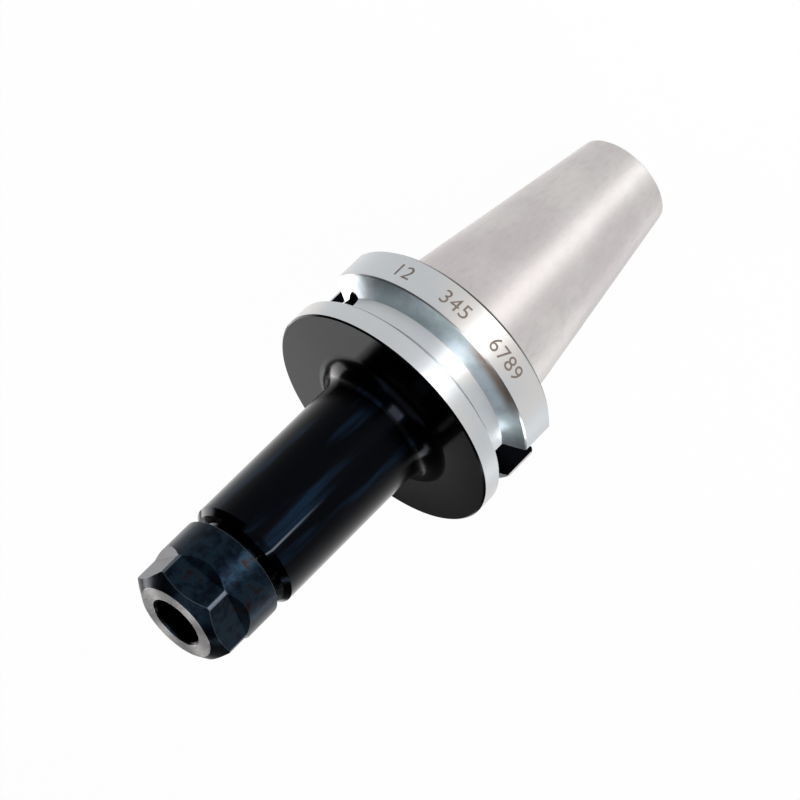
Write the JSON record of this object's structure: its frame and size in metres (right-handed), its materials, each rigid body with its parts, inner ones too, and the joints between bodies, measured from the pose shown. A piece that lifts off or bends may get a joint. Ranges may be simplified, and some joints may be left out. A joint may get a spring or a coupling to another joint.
{
  "type": "collet chuck holder",
  "caption": "Steep taper toolholder with a gripping groove, drive keyways, a slim neck and a hexagon collet nut.",
  "frame": {"origin": "centre of the taper's small end face, on the spindle axis", "axes": "+Z along the spindle axis towards the nose; the drive keyways open along +X and -X"},
  "size_m": [0.063, 0.063, 0.1654],
  "materials": {
    "ground_steel": "finely ground",
    "blackened_steel": "blackened, semi-gloss"
  },
  "bodies": {
    "holder": {"holder_body": "ground_steel"},
    "nut": {"clamping_nut": "blackened_steel"}
  },
  "joints": [
    {"name": "nut_turn", "type": "hinge", "parent": "holder", "child": "nut", "pos_m": [0, 0, 0.1554], "axis": [0, 0, 1], "continuous": true}
  ]
}
